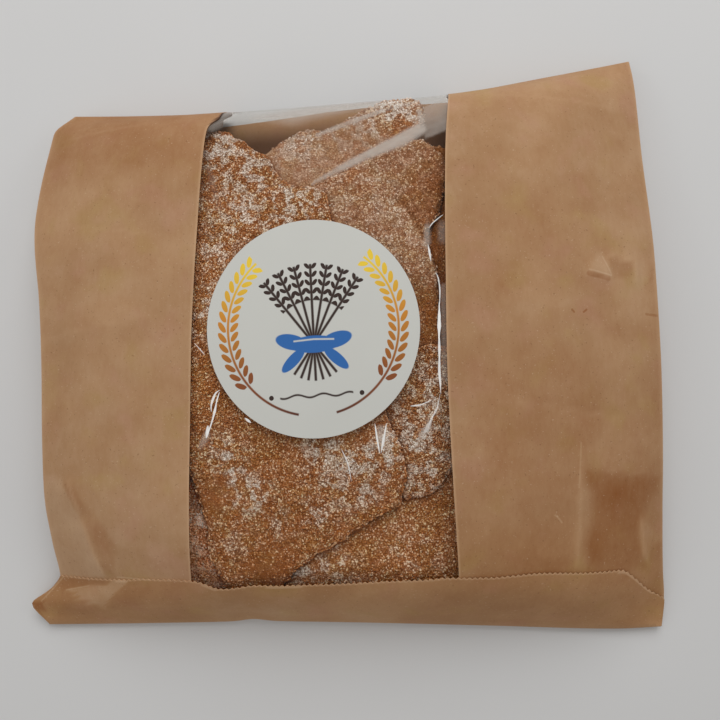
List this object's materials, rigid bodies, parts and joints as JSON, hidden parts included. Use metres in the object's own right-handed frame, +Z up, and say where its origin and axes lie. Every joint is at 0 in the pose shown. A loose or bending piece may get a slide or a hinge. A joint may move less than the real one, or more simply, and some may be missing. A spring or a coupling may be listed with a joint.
{
  "type": "bag of rye crispbread chips",
  "caption": "Kraft paper bag with a clear film window and a round label, filled with thin rye crispbread chips and lying on its back.",
  "frame": {"origin": "centre of the bag's box at table height, under the middle of its back", "axes": "+Z up out of the bag's front, +Y towards the folded top, +X to the right across the front"},
  "size_m": [0.258, 0.2436, 0.0405],
  "materials": {
    "kraft_paper": "matt unbleached kraft paper with soft creases",
    "clear_film": "clear glossy window film with fine wrinkles",
    "label_paper": null,
    "crispbread": "coarse brown rye crispbread with a dusting of flour"
  },
  "bodies": {
    "root": {"paper_bag": "kraft_paper", "window_film": "clear_film", "label": "label_paper", "chip_front": "crispbread", "chip_right_low": "crispbread", "chip_right_high": "crispbread", "chip_top": "crispbread", "chip_far_right": "crispbread", "chip_low_right": "crispbread", "chip_low_left": "crispbread"}
  },
  "joints": []
}
